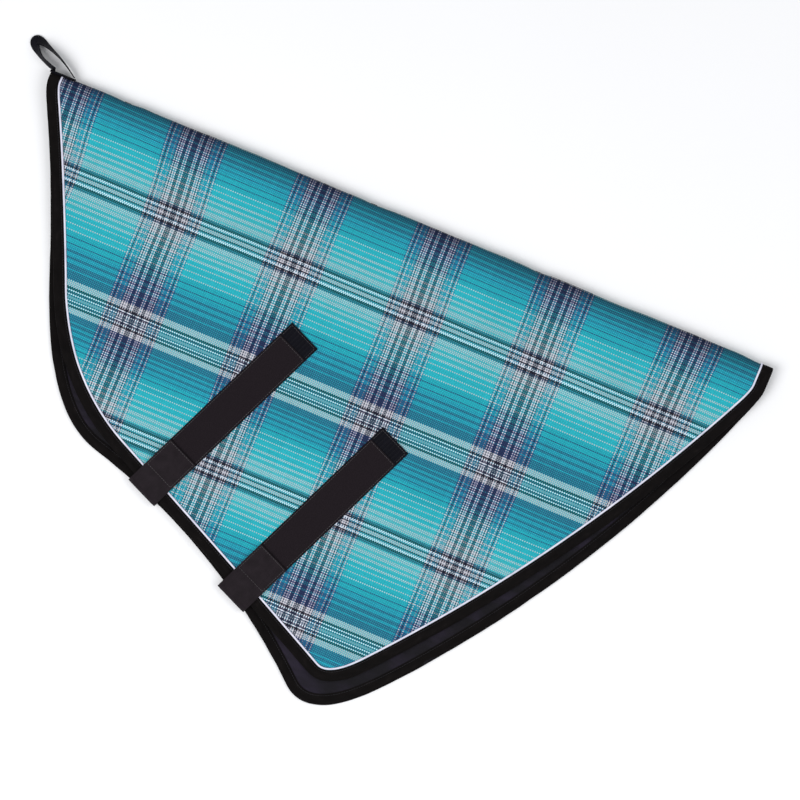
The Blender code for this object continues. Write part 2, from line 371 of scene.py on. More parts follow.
def off_lining_lift(x, y):
    """The satin stands up in soft folds where the near half doesn't cover it."""
    low = smooth_step(-y, 0.24, 0.4)
    folds = noise.noise((x * 22, y * 34, 15.5)) + 0.5 * noise.noise((x * 60, y * 48, 2.5))
    inside = smooth_step(edge_distance(x, y), 0.018, 0.034)
    return off_lift(x, y) + 0.0022 * low * inside * max(folds, 0.0)


def flat(x, y):
    return 0.0


# --- Materials ---


def tone(red, green, blue):
    """A colour given as a screen shows it, 0 to 255, in the linear values that shaders use."""

    def linear(value):
        value = value / 255
        return value / 12.92 if value <= 0.04045 else ((value + 0.055) / 1.055) ** 2.4

    return (linear(red), linear(green), linear(blue), 1)


class Look:
    """A node material, built with short calls. A value is a number, a colour or another node's output."""

    def __init__(self, name, **inputs):
        self.material = bpy.data.materials.new(name)
        self.material.use_nodes = True
        self.tree = self.material.node_tree
        self.shader = self.tree.nodes["Principled BSDF"]
        self.shader.inputs["Metallic"].default_value = 0.0
        for socket, value in inputs.items():
            self.put(self.shader.inputs[socket.replace("_", " ")], value)

    def put(self, socket, value):
        if isinstance(value, bpy.types.NodeSocket):
            self.tree.links.new(value, socket)
        else:
            socket.default_value = value

    def node(self, kind, *values, **settings):
        made = self.tree.nodes.new(kind)
        for name, value in settings.items():
            setattr(made, name, value)
        for socket, value in zip(made.inputs, values):
            if value is not None:
                self.put(socket, value)
        return made

    def math(self, operation, *values):
        return self.node("ShaderNodeMath", *values, operation=operation).outputs[0]

    def plus(self, first, second):
        return self.math("ADD", first, second)

    def minus(self, first, second):
        return self.math("SUBTRACT", first, second)

    def times(self, first, second):
        return self.math("MULTIPLY", first, second)

    def over(self, first, second):
        return self.math("DIVIDE", first, second)

    def waves(self, value, pitch):
        return self.math("SINE", self.times(value, 2 * math.pi / pitch))

    def from_middle(self, value):
        """How far each whole step's places lie from its middle, up to 0.5."""
        return self.math("ABSOLUTE", self.minus(self.math("FRACT", value), 0.5))

    def mix(self, share, first, second, blend_type="MIX"):
        made = self.node("ShaderNodeMix", data_type="RGBA", blend_type=blend_type)
        self.put(made.inputs["Factor"], share)
        self.put(made.inputs[6], first)
        self.put(made.inputs[7], second)
        return made.outputs[2]

    def shaded(self, colour, grey):
        greys = self.node("ShaderNodeCombineColor", grey, grey, grey).outputs[0]
        return self.mix(1.0, colour, greys, "MULTIPLY")

    def ramp(self, value, stops, interpolation="LINEAR"):
        """Colours or greys at places from 0 to 1."""
        made = self.node("ShaderNodeValToRGB", value)
        made.color_ramp.interpolation = interpolation
        elements = made.color_ramp.elements
        while len(elements) < len(stops):
            elements.new(1.0)
        for element, (place, colour) in zip(elements, stops):
            element.position = place
            element.color = colour if isinstance(colour, tuple) else (colour, colour, colour, 1)
        return made.outputs["Color"]

    def place(self, name):
        """The parts of a painted place: along, across and up."""
        made = self.node("ShaderNodeAttribute", attribute_name=name)
        split = self.node("ShaderNodeSeparateXYZ", made.outputs["Vector"])
        return split.outputs[0], split.outputs[1], split.outputs[2]

    def vector(self, x, y, z=0.0):
        return self.node("ShaderNodeCombineXYZ", x, y, z).outputs[0]

    def grain(self, scale, detail=2.0, vector=None):
        """A soft noise from 0 to 1, by place on the object unless a vector is given."""
        if vector is None:
            vector = self.node("ShaderNodeTexCoord").outputs["Object"]
        made = self.node("ShaderNodeTexNoise", noise_dimensions="3D")
        self.put(made.inputs["Vector"], vector)
        made.inputs["Scale"].default_value = scale
        made.inputs["Detail"].default_value = detail
        return made.outputs["Fac"]

    def chance(self, vector):
        """A separate random number from 0 to 1 for each place."""
        return self.node("ShaderNodeTexWhiteNoise", vector, noise_dimensions="3D").outputs["Value"]

    def bump(self, height, distance, strength=1.0):
        made = self.node("ShaderNodeBump")
        made.inputs["Strength"].default_value = strength
        made.inputs["Distance"].default_value = distance
        self.put(made.inputs["Height"], height)
        self.put(self.shader.inputs["Normal"], made.outputs["Normal"])

    def colour(self, value):
        self.put(self.shader.inputs["Base Color"], value)


TURQUOISE = tone(40, 182, 196)
MIST = tone(98, 190, 196)
SEA = tone(68, 186, 194)
DEEP = tone(30, 160, 178)
BLUE = tone(30, 130, 164)
DUSK = tone(39, 66, 120)
TEAL = tone(50, 84, 110)
NAVY = tone(38, 50, 80)
BLACK = tone(22, 14, 20)
WHITE = tone(214, 208, 222)
BRIGHT = tone(220, 240, 252)
SILVER = tone(180, 204, 208)
PALE = tone(190, 194, 200)
SLATE = tone(78, 124, 144)
ASH = tone(120, 124, 146)
STONE = tone(132, 154, 166)

YARN = 0.00162
WARP_FIRST = 0.027
WARP_YARNS = 55.5
WEFT_YARNS = 89.5
LINE_YARNS = 5

# Runs of yarns of one colour, counted outwards from the yarn in the middle of a stripe.
WARP_STRIPE = (
    (3, NAVY), (1, WHITE), (1, SLATE), (1, WHITE), (3, NAVY), (1, WHITE), (1, ASH), (1, WHITE),
    (1, NAVY), (1, WHITE), (1, TEAL), (1, BLUE), (1, STONE), (3, BLUE), (1, PALE), (1, BLUE), (1, NAVY),
    (1, BLUE), (1, PALE), (1, BLUE), (30, TURQUOISE),
)
WEFT_STRIPE = (
    (2, PALE), (1, BLACK), (1, SLATE), (2, BRIGHT), (2, BLACK), (2, TEAL), (7, MIST), (8, SEA),
    (15, TURQUOISE), (12, DEEP), (25, BLUE), (5, PALE), (2, BLACK), (1, BRIGHT), (2, NAVY), (1, BRIGHT),
    (1, TEAL), (1, STONE),
)
# How much of the cloth between the stripes is fine silver lines, and how much fine navy ones, by yarn.
SILVER_LINES = (
    (0.0, 0.0), (9.9, 0.0), (10.0, 0.95), (13.0, 0.7), (18.0, 0.6), (23.0, 0.45), (28.0, 0.32),
    (34.0, 0.22), (44.0, 0.12), (46.0, 0.0),
)
NAVY_LINES = (
    (0.0, 0.0), (42.0, 0.0), (46.0, 0.18), (54.0, 0.26), (60.0, 0.42), (66.0, 0.62), (71.0, 0.85),
    (76.5, 1.0), (76.6, 0.0),
)
# Painted shade along the crest fold: where it lies in the pattern, how far it reaches and how dark it gets
# there.
FOLD_PLACE = -0.125
FOLD_REACH = 0.03
FOLD_PAINTED_SHADE = 0.45
DARK_YARN = 0.15
CROSSED_SHARE = 0.5
YARN_ROUND = 2.6
YARN_DIP = 1.2
YARN_GAP = 0.33
GAP_SHADE = 0.85


def runs(stripe, reach):
    """Where each run of yarns starts, from the middle of the stripe, as a share of reach."""
    starts = []
    place = 0.0
    for count, colour in stripe:
        starts.append((max(place, 0.0) / reach, colour))
        place += count if starts[1:] else count - 0.5
    return starts


def plaid_look():
    look = Look("plaid_mesh_finish", Roughness=0.6, Specular_IOR_Level=0.12)
    plus, minus, times, over = look.plus, look.minus, look.times, look.over
    u, v, _ = look.place("weave")
    across = plus(over(minus(u, WARP_FIRST), YARN), 0.5)
    down = plus(over(v, YARN), 0.5)
    warp_number = look.math("FLOOR", across)
    weft_number = look.math("FLOOR", down)

    warp_share = over(look.math("PINGPONG", warp_number, WARP_YARNS), WARP_YARNS)
    warp = look.ramp(warp_share, runs(WARP_STRIPE, WARP_YARNS), "CONSTANT")
    weft_share = over(look.math("PINGPONG", weft_number, WEFT_YARNS), WEFT_YARNS)
    weft = look.ramp(weft_share, runs(WEFT_STRIPE, WEFT_YARNS), "CONSTANT")
    saw = look.math("FRACT", over(plus(weft_number, 0.5), LINE_YARNS))
    for colour, stops in ((SILVER, SILVER_LINES), (DUSK, NAVY_LINES)):
        width = look.ramp(weft_share, [(place / WEFT_YARNS, share) for place, share in stops])
        weft = look.mix(look.math("LESS_THAN", saw, width), weft, colour)

    # A dark yarn lies fuller than the bright ones that it crosses, and leaves less of them to see.
    crossed = []
    for under, upper in ((warp, weft), (weft, warp)):
        light = over(look.node("ShaderNodeRGBToBW", upper).outputs[0], DARK_YARN)
        dark = look.math("MAXIMUM", minus(1.0, light), 0.0)
        crossed.append(look.mix(times(dark, CROSSED_SHARE), under, BLACK))
    warp, weft = crossed

    parity = look.math("FLOORED_MODULO", plus(warp_number, weft_number), 2.0)
    warp_on_top = minus(1.0, parity)
    colour = look.mix(parity, warp, weft)

    # The yarn on top is round across its own width and dips under its neighbours at both ends.
    in_warp = look.from_middle(across)
    in_weft = look.from_middle(down)
    width = plus(times(in_warp, warp_on_top), times(in_weft, parity))
    ends = plus(times(in_weft, warp_on_top), times(in_warp, parity))
    width = times(look.math("POWER", width, 2.0), YARN_ROUND)
    ends = times(look.math("POWER", ends, 2.0), YARN_DIP)
    height = minus(1.0, plus(width, ends))
    gap = look.math("GREATER_THAN", look.math("MINIMUM", in_warp, in_weft), YARN_GAP)
    colour = look.mix(times(gap, GAP_SHADE), colour, BLACK)

    yarn = look.chance(look.vector(times(warp_number, warp_on_top), times(weft_number, parity)))
    shade = plus(0.93, times(yarn, 0.14))
    broad = plus(0.93, times(look.grain(11.0), 0.14))
    # Painted shade over the fold: the mesh grows darker towards the crest, where the cloth curves away from the
    # light.
    from_fold = over(look.math("ABSOLUTE", minus(v, FOLD_PLACE)), FOLD_REACH)
    folded = plus(FOLD_PAINTED_SHADE, times(look.math("MINIMUM", from_fold, 1.0), 1 - FOLD_PAINTED_SHADE))
    broad = times(broad, folded)
    # The yarn's height also sets its brightness: painted shade where each yarn dips, lighter on its round top.
    value = times(times(shade, broad), plus(0.62, times(height, 0.46)))
    look.colour(look.shaded(colour, value))
    look.bump(minus(height, gap), 0.00035, 0.7)
    return look.material


def lining_look():
    look = Look("lining_finish", Roughness=0.5, Specular_IOR_Level=0.1)
    u, v, _ = look.place("weave")
    thread = look.waves(look.plus(u, look.times(v, 0.5)), 0.0009)
    folds = look.grain(24.0, 3.0, look.vector(look.times(u, 0.45), v))
    # The colour follows the folds: painted sheen on their tops and painted shade in their hollows.
    colour = look.ramp(folds, [(0.32, tone(6, 5, 9)), (0.5, tone(15, 12, 20)), (0.7, tone(38, 31, 48))])
    look.colour(look.shaded(colour, look.plus(0.9, look.times(thread, 0.1))))
    look.bump(look.plus(look.times(folds, 3.0), look.times(thread, 0.05)), 0.0012, 0.6)
    return look.material


def tape_look():
    look = Look("binding_finish", Roughness=0.75, Specular_IOR_Level=0.07)
    s, r, _ = look.place("tape")
    rib = look.waves(s, 0.0011)
    weave = look.waves(r, 0.0016)
    wear = look.grain(60.0, 4.0, look.vector(s, look.times(r, 2.5)))
    look.colour(look.ramp(wear, [(0.3, tone(8, 6, 6)), (0.6, tone(14, 11, 11)), (0.85, tone(26, 22, 22))]))
    look.bump(look.plus(look.times(rib, 0.5), look.times(weave, 0.35)), 0.00022, 0.7)
    return look.material


def piping_look():
    look = Look("piping_finish", Roughness=0.42, Specular_IOR_Level=0.5)
    s, r, _ = look.place("tape")
    soil = look.grain(45.0, 4.0, look.vector(s, r))
    tones = [(0.2, tone(190, 190, 210)), (0.5, tone(222, 221, 238)), (0.8, tone(236, 235, 246))]
    look.colour(look.ramp(soil, tones))
    look.bump(look.waves(look.plus(s, look.times(r, 0.8)), 0.0014), 0.00012, 0.6)
    return look.material


def webbing_look(name, base, light, ribs, roughness):
    """Flat woven webbing: ribs along it, crossed by a fine diagonal."""
    look = Look(name, Roughness=roughness, Specular_IOR_Level=0.08)
    plus, times = look.plus, look.times
    d, s, _ = look.place("strap")
    chevron = look.from_middle(look.over(s, ribs * 2))
    slant = look.waves(plus(d, times(chevron, ribs * 2)), 0.0019)
    height = plus(times(look.waves(s, ribs), 0.4), times(slant, 0.5))
    wear = look.grain(70.0, 4.0, look.vector(d, s))
    tint = plus(times(wear, 0.55), plus(0.25, times(height, 0.22)))
    look.colour(look.ramp(tint, [(0.15, base), (0.9, light)]))
    look.bump(height, 0.0003, 0.8)
    return look.material


def fuzz_look(name, base, light, size):
    """The pile of touch-and-close tape: soft loops or short hooks in rows."""
    look = Look(name, Roughness=0.92, Specular_IOR_Level=0.05)
    d, s, _ = look.place("strap")
    dots = look.times(look.waves(d, size), look.waves(s, size))
    pile = look.grain(900.0, 2.0, look.vector(d, s))
    height = look.plus(look.times(dots, 0.4), pile)
    look.colour(look.ramp(height, [(0.1, base), (1.0, light)]))
    look.bump(height, 0.0004, 0.9)
    return look.material


def thread_look(name, dark, light):
    look = Look(name, Roughness=0.55, Specular_IOR_Level=0.4)
    spots = look.grain(900.0, 1.0)
    look.colour(look.ramp(spots, [(0.3, dark), (0.7, light)]))
    look.bump(spots, 0.0001, 0.5)
    return look.material


PLAID = plaid_look()
SATIN = lining_look()
BINDING = tape_look()
PIPING = piping_look()
WEB = webbing_look("webbing_finish", tone(16, 13, 15), tone(45, 38, 43), 0.0016, 0.72)
WEB_SMOOTH = webbing_look("webbing_end_finish", tone(4, 4, 9), tone(16, 15, 24), 0.0026, 0.6)
LOOPS = fuzz_look("loop_tape_finish", tone(17, 14, 16), tone(44, 37, 42), 0.0017)
HOOKS = fuzz_look("hook_tape_finish", tone(12, 10, 13), tone(36, 33, 37), 0.0012)
SEWING = thread_look("thread_finish", tone(12, 12, 18), tone(34, 32, 40))
STRAP_SEWING = thread_look("strap_thread_finish", tone(44, 40, 42), tone(92, 88, 90))


# --- Meshes ---


def placed(name, data, place=(0, 0, 0)):
    made = bpy.data.objects.new(name, data)
    made.location = place
    bpy.context.collection.objects.link(made)
    return made


def piece(name, points, faces, look, slot, node=None, paint=None, sharp=50):
    """A new object at ORIGIN. paint is an attribute's name and one (a, b) place for each point."""
    mesh = bpy.data.meshes.new(name)
    mesh.from_pydata([Vector(p) for p in points], [], faces)
    edited = bmesh.new()
    edited.from_mesh(mesh)
    bmesh.ops.recalc_face_normals(edited, faces=edited.faces)
    edited.to_mesh(mesh)
    edited.free()
    if paint:
        attribute = mesh.attributes.new(paint[0], "FLOAT_VECTOR", "POINT")
        attribute.data.foreach_set("vector", [value for a, b in paint[1] for value in (a, b, 0.0)])
    mesh.shade_smooth()
    mesh.set_sharp_from_angle(angle=math.radians(sharp))
    mesh.materials.append(look)
    made = placed(name, mesh, ORIGIN)
    if node:
        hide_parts(node)
    return made


def ring_faces(rings, count):
    """Faces that join rings of count points each, with the ends closed."""
    faces = [list(range(count)), list(range((rings - 1) * count, rings * count))]
    for ring in range(rings - 1):
        low = ring * count
        for i in range(count):
            j = (i + 1) % count
            faces.append([low + i, low + j, low + count + j, low + count + i])
    return faces


def spans(outline, y):
    """The stretches of the line at height y that are inside an outline."""
    found = sorted(
        a.x + (b.x - a.x) * (y - a.y) / (b.y - a.y)
        for a, b in zip(outline, outline[1:] + outline[:1])
        if (a.y <= y) != (b.y <= y)
    )
    return list(zip(found[::2], found[1::2]))


def filled(outline, grid):
    """Points and triangles that fill an outline evenly."""
    low = min(p.y for p in outline)
    high = max(p.y for p in outline)
    left = min(p.x for p in outline)
    margin = grid * 0.55
    points = list(outline)
    row = 0
    y = low + margin
    while y < high:
        bands = [spans(outline, y + shift) for shift in (-margin, 0, margin)]
        if all(bands):
            start = max(band[0][0] for band in bands) + margin
            end = min(band[-1][1] for band in bands) - margin
            step = math.ceil((start - left) / grid)
            x = left + (step + 0.5 * (row % 2)) * grid
            while x < end:
                points.append(Vector((x, y)))
                x += grid
        row += 1
        y += grid * 0.866
    count = len(outline)
    edges = [(i, (i + 1) % count) for i in range(count)]
    found = delaunay_2d_cdt(points, edges, [], 1, 1e-7)
    return found[0], found[2]


def sheet(name, outline, grid, low, thickness, lift, look, slot, node, weave):
    """A cut layer of cloth that lies as lift says, closed, with its thickness."""
    flat_points, triangles = filled(outline, grid)
    count = len(flat_points)
    points = []
    for rise in (low, low + thickness):
        points += [(p.x, p.y, rise + lift(p.x, p.y)) for p in flat_points]
    uses = {}
    for a, b, c in triangles:
        for edge in ((a, b), (b, c), (c, a)):
            uses[frozenset(edge)] = edge if frozenset(edge) not in uses else None
    faces = [list(t) for t in triangles]
    faces += [[i + count for i in reversed(t)] for t in triangles]
    faces += [[a, b, b + count, a + count] for a, b in filter(None, uses.values())]
    painted = [weave(p.x, p.y) for p in flat_points] * 2
    return piece(name, points, faces, look, slot, node, ("weave", painted))


def around(profile):
    """How far round a profile each of its points lies."""
    found = [0.0]
    for (r, z), (to_r, to_z) in zip(profile, profile[1:]):
        found.append(found[-1] + math.hypot(to_r - r, to_z - z))
    return found


def swept(name, line, profile, lift, look, slot, node, sharp=60):
    """A profile swept along a seam. profile(s, closeness to an end) gives (distance outwards, height) pairs."""
    rings = []
    painted = []
    travelled = 0.0
    total = sum((b - a).length for a, b in zip(line, line[1:]))
    before = line[0]
    for point, out in zip(line, outwards(line)):
        travelled += (point - before).length
        before = point
        hold = 1 - smooth_step(min(travelled, total - travelled), 0, 0.03)
        shape = profile(travelled, hold)
        for (r, z), girth in zip(shape, around(shape)):
            x, y = point.x + out.x * r, point.y + out.y * r
            rings.append((x, y, z + lift(x, y)))
            painted.append((travelled, girth))
    faces = ring_faces(len(line), len(shape))
    return piece(name, rings, faces, look, slot, node, ("tape", painted), sharp)


def quarter(part):
    """The angles of the fold's lower quarter, from the off half up, or of its upper one."""
    start = FOLD_PARTS[part]
    return [math.radians(start + 90 * step / FOLD_STEPS) for step in range(FOLD_STEPS + 1)]


def turned(name, profile, side, part, look, slot, node):
    """The same profile carried round one quarter of the fold, at x and towards side."""
    x, outward = side
    rings = []
    painted = []
    for angle in quarter(part):
        for (r, z), girth in zip(profile, around(profile)):
            reach = FOLD_Z - z
            place = (x + outward * r, FOLD_Y + reach * math.cos(angle), FOLD_Z + reach * math.sin(angle))
            rings.append(place)
            painted.append((angle * FOLD_TURN, girth))
    faces = ring_faces(FOLD_STEPS + 1, len(profile))
    return piece(name, rings, faces, look, slot, node, ("tape", painted), 60)


def binding_profile(low, pucker=0.0, waver=0.0):
    """A tape folded round the cloth's edge, round outside, with a lip on each leg. Heights grow from low."""
    high = low + BINDING_HEIGHT
    half = BINDING_HEIGHT / 2
    blunt = half * 0.8
    outer = BINDING_WIDTH - blunt + waver
    shape = [(r, high - dip + pucker * (1 - r / BINDING_WIDTH)) for r, dip in BINDING_DIPS]
    for step in range(1, 8):
        turn = math.radians(90 - 180 * step / 8)
        shape.append((outer + blunt * math.cos(turn), (low + high) / 2 + half * math.sin(turn)))
    shape += [(r, low + dip - pucker * (1 - r / BINDING_WIDTH)) for r, dip in reversed(BINDING_DIPS)]
    wall = BINDING_WIDTH - TAPE - GAP / 2
    shape += [(0.0, low + TAPE + 0.0001), (wall, low + TAPE)]
    return shape + [(wall, high - TAPE), (0.0, high - TAPE - 0.0001)]


def bead_profile(middle):
    """Round piping."""
    centre = -GAP - PIPING_WIDTH / 2
    turns = [2 * math.pi * step / BEAD_SIDES for step in range(BEAD_SIDES)]
    return [(centre + PIPING_WIDTH / 2 * math.cos(turn), middle + BEAD_HALF * math.sin(turn)) for turn in turns]


def ribbon(squareness):
    """Points round a ribbon's section, as shares of half its width and half its thickness."""
    section = []
    for face in (1, -1):
        for step in range(RIBBON_ACROSS):
            share = face * (1 - 2 * step / (RIBBON_ACROSS - 1))
            section.append((share, face * (1 - RIBBON_EDGE * abs(share) ** squareness)))
    return section


def puckers(s, seed):
    return noise.noise((s * 130, seed, 0.3)) + 0.6 * noise.noise((s * 300, seed, 2.1))


def thread_mesh(name, stitches, body, look=SEWING, arch=0.00022, node=None):
    """Short raised threads, each from one point to another."""
    points = []
    faces = []
    shape = ((0.0, 0.45), (0.14, 0.9), (0.5, 1.0), (0.86, 0.9), (1.0, 0.45))
    for start, end, up in stitches:
        along = (end - start).normalized()
        side = along.cross(up).normalized()
        base = len(points)
        for share, size in shape:
            centre = start.lerp(end, share) + up * (arch * math.sin(math.pi * share))
            for step in range(THREAD_SIDES):
                turn = 2 * math.pi * step / THREAD_SIDES
                points.append(centre + (side * math.cos(turn) + up * math.sin(turn)) * THREAD * size)
        for face in ring_faces(len(shape), THREAD_SIDES):
            faces.append([base + i for i in face])
    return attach(piece(name, points, faces, look, "thread", node, sharp=80), body)


def stitches_along(path, up=Vector((0, 0, 1)), pitch=STITCH_PITCH):
    """Stitches with small gaps between them."""
    path = spaced(path, pitch)
    return [(a, a.lerp(b, STITCH_SHARE), up) for a, b in zip(path, path[1:])]


# --- Weave places ---

# Where the middle of each weft stripe lies below the crest, and its place in the pattern.
WEFT_KNOTS = ((-0.019, -0.145), (0.119, 0.0), (0.273, 0.145), (0.413, 0.29), (0.559, 0.435))
FOLD_ARC = math.pi / 2 * (FOLD_Z - OFF_MESH_LOW - MESH / 2)


def weft_place(below):
    """The place in the pattern at a depth below the crest. The pattern carries on beyond both ends."""
    knots = WEFT_KNOTS
    if below < knots[0][0]:
        return knots[0][1] + below - knots[0][0]
    if below > knots[-1][0]:
        return knots[-1][1] + below - knots[-1][0]
    i = 0
    while i < len(knots) - 2 and below > knots[i + 1][0]:
        i += 1
    (low, first), (high, second) = knots[i], knots[i + 1]
    return first + (second - first) * (below - low) / (high - low)


def drift(x, y, seed):
    """The cloth was never cut or laid quite straight."""
    return 0.0016 * noise.noise((x * 5, y * 5, seed)) + 0.0004 * noise.noise((x * 16, y * 16, seed + 3))


# Where the warp stripes lie along the crest, and how far each has moved at three depths below it.
WARP_LEAN = (
    (0.207, (-0.0054, 0.004, 0.008)),
    (0.387, (0.0000, 0.0000, 0.004)),
    (0.567, (-0.0066, -0.0027, -0.0008)),
    (0.747, (-0.008, -0.0052, -0.0026)),
    (0.927, (0.0000, -0.0027, -0.0024)),
)
LEAN_DEPTHS = (0.0, 0.15, 0.35)


def between(value, places, results):
    """The result for a value that lies between known places, held beyond the first and the last."""
    for low, high, first, second in zip(places, places[1:], results, results[1:]):
        if value <= high:
            return first + (second - first) * smooth_step(value, low, high)
    return results[-1]


def lean(x, below):
    moved = [between(below, LEAN_DEPTHS, shifts) for _, shifts in WARP_LEAN]
    return between(x, [place for place, _ in WARP_LEAN], moved)


def near_weave(x, y):
    return x - lean(x, -y) + drift(x, y, 21.3), weft_place(-y + drift(x, y, 33.7))


def off_weave(x, y):
    """The cloth carries on over the fold, so the off half's pattern goes the other way."""
    past_fold = 2 * (FOLD_Y + FOLD_ARC)
    return x - lean(x, 0.0) + drift(x, FOLD_Y, 21.3), weft_place(y - past_fold)


# --- The two halves ---


def half(side, seam, bead_middle, lift, lining_lift, weave, seed):
    cloth = offset(seam, INSET)
    cloth += spaced([cloth[-1], cloth[0]], SEAM_STEP)[1:-1]

    def layer(kind, slot, end, grid, thickness, rise, look):
        node = f"{side}_{kind}"
        return sheet(f"{node}_{end}", cloth, grid, underside(node), thickness, rise, look, slot, node, weave)

    mesh = layer("mesh", "plaid_mesh", "cloth", CLOTH_GRID, MESH, lift, PLAID)
    lining = layer("lining", "lining", "satin", LINING_GRID, LINING, lining_lift, SATIN)
    binding_low = underside(side + "_binding")

    def tape_profile(s, hold):
        free = 1 - hold
        pucker = BINDING_PUCKER * free * puckers(s, seed)
        return binding_profile(binding_low, pucker, BINDING_WAVER * free * puckers(s * 0.2, seed + 4))

    def round_profile(s, hold):
        return bead_profile(bead_middle)

    node = side + "_binding"
    binding = swept(node + "_tape", seam, tape_profile, lift, BINDING, "binding", node)
    node = side + "_piping"
    piping = swept(node + "_bead", seam, round_profile, lift, PIPING, "piping", node)

    rows = []
    for level, up in ((binding_low + BINDING_HEIGHT - 0.00025, 1), (binding_low + 0.00025, -1)):
        places = offset(seam, BINDING_STITCHES)[3:-3]
        path = [Vector((p.x, p.y, level + lift(p.x, p.y))) for p in places]
        rows += stitches_along(path, Vector((0, 0, up)))
    sewing = thread_mesh(side + "_binding_stitches", rows, side)
    for made in (mesh, lining, binding, piping):
        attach(made, side)
    return mesh, lining, binding, piping, sewing


near = half("near_side", NEAR_SEAM, NEAR_BEAD, near_lift, near_lift, near_weave, 3.3)
off = half("off_side", OFF_SEAM, OFF_BEAD, off_lift, off_lining_lift, off_weave, 12.9)


# --- The fold along the crest ---

TACKS = [sum(corner.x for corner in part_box(f"crest_tack_{i}")) / 2 - ORIGIN.x for i in (1, 2, 3)]
CREST_STEP = 0.005
TACK_ROWS = 17
TACK_OVERHANG = 0.0006
TACK_CLEAR = 0.0003


def crest_swell(x):
    """How far the fold stands out at x: drawn in at each tack and held at both ends."""
    swell = 0.0017 + 0.0016 * noise.noise((x * 11, 0.2, 7.7)) + 0.0006 * noise.noise((x * 37, 1.2, 3.7))
    for tack in TACKS:
        swell *= 1 - math.exp(-(((x - tack) / TACK_PULL) ** 2))
    return max(swell, 0.0) * smooth_step(min(x, CREST_LENGTH - x), 0, 0.04)


def bend_fold(made):
    """Moves the piece's place into its mesh points, where it stays."""
    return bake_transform(made)


def fold_sheet(name, part, inner, outer, look, slot, node):
    """Cloth that turns over one quarter of the fold."""
    angles = quarter(part)
    length = CREST_LENGTH + 2 * INSET
    steps = round(length / CREST_STEP)
    points = []
    painted = []
    for i in range(steps + 1):
        x = -INSET + length * i / steps
        swell = crest_swell(x)
        along = near_weave(x, FOLD_Y)[0]
        for reach, turns in ((outer, angles), (inner, angles[::-1])):
            for angle in turns:
                far = reach + swell * math.cos(angle) ** 2
                points.append((x, FOLD_Y + far * math.cos(angle), FOLD_Z + far * math.sin(angle)))
                past = FOLD_ARC * (1 - angle / (math.pi / 2))
                painted.append((along, weft_place(-FOLD_Y - past + drift(x, FOLD_Y, 33.7))))
    faces = ring_faces(steps + 1, 2 * len(angles))
    return bend_fold(piece(name, points, faces, look, slot, node, ("weave", painted)))


mesh_reach = FOLD_Z - OFF_MESH_LOW
lining_reach = FOLD_Z - OFF_LINING_LOW
crest_trim = []
for part in FOLD_PARTS:
    name = f"crest_mesh_fold_{part}_cloth"
    inner = mesh_reach - MESH
    fold_sheet(name, part, inner, mesh_reach, PLAID, "plaid_mesh", "crest_mesh_fold")
    name = f"crest_lining_fold_{part}_satin"
    inner = lining_reach - LINING
    fold_sheet(name, part, inner, lining_reach, SATIN, "lining", "crest_lining_fold")
    for end, side in (("poll", (0, -1)), ("withers", (CREST_LENGTH, 1))):
        node = end + "_binding_fold"
        tape = turned(
            f"{node}_{part}_tape", binding_profile(OFF_BINDING_LOW), side, part, BINDING, "binding", node
        )
        name = f"{end}_piping_fold_{part}_bead"
        bead = turned(name, bead_profile(OFF_BEAD), side, part, PIPING, "piping", None)
        for made in (tape, bead):
            crest_trim.append(bend_fold(made))


def over_fold(x, reach, angle):
    """A point over the crest, and the way out from the fold there."""
    out = Vector((0, math.cos(angle), math.sin(angle)))
    return Vector((x, FOLD_Y, FOLD_Z)) + out * reach, out


def tack(number):
    """A bar of thread sewn over the fold."""
    node = f"crest_tack_{number}"
    low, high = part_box(node)
    start, end = low.x - ORIGIN.x, high.x - ORIGIN.x
    above = mesh_reach + TACK_CLEAR
    rows = []
    for i in range(TACK_ROWS):
        x = start + (end - start) * i / (TACK_ROWS - 1)
        for first, last in ((-1, 0), (0, 1)):
            a, _ = over_fold(x, above, TACK_TURN * first * 1.15)
            b, _ = over_fold(x + 0.0002, above, TACK_TURN * last * 1.15)
            rows.append((a, b, ((a + b) / 2 - Vector((x, FOLD_Y, FOLD_Z))).normalized()))
    for angle in (-0.6, 0.0, 0.6):
        a, out = over_fold(start - TACK_OVERHANG, mesh_reach + 0.0001, TACK_TURN * angle)
        b, _ = over_fold(end + TACK_OVERHANG, mesh_reach + 0.0001, TACK_TURN * angle)
        rows.append((a, b, out))
    return thread_mesh(node + "_threads", rows, "crest", arch=0.0003, node=node)


tacks = [tack(number) for number in (1, 2, 3)]


# --- Poll loop ---

# Place, height of the middle, width and lean of the ribbon at points from its right root to its left one.
LOOP_LINE = (
    (0.016, 0.003, 0.0101, 0.007, 0),
    (0.008, 0.0085, 0.0098, 0.011, 2),
    (-0.003, 0.0155, 0.0092, 0.015, 5),
    (-0.017, 0.0225, 0.0086, 0.016, 10),
    (-0.033, 0.0285, 0.008, 0.016, 22),
    (-0.046, 0.032, 0.0066, 0.016, 48),
    (-0.052, 0.03, 0.0056, 0.016, 62),
    (-0.05, 0.024, 0.0056, 0.016, 52),
    (-0.042, 0.0165, 0.0066, 0.015, 30),
    (-0.033, 0.0105, 0.0078, 0.0145, 18),
    (-0.022, 0.006, 0.0088, 0.012, 24),
    (-0.012, 0.0034, 0.0096, 0.0085, 30),
)
LOOP_STEPS = 6
ANCHOR_TURN = math.radians(50)
ANCHOR_RINGS = 19
ANCHOR_ACROSS = 15


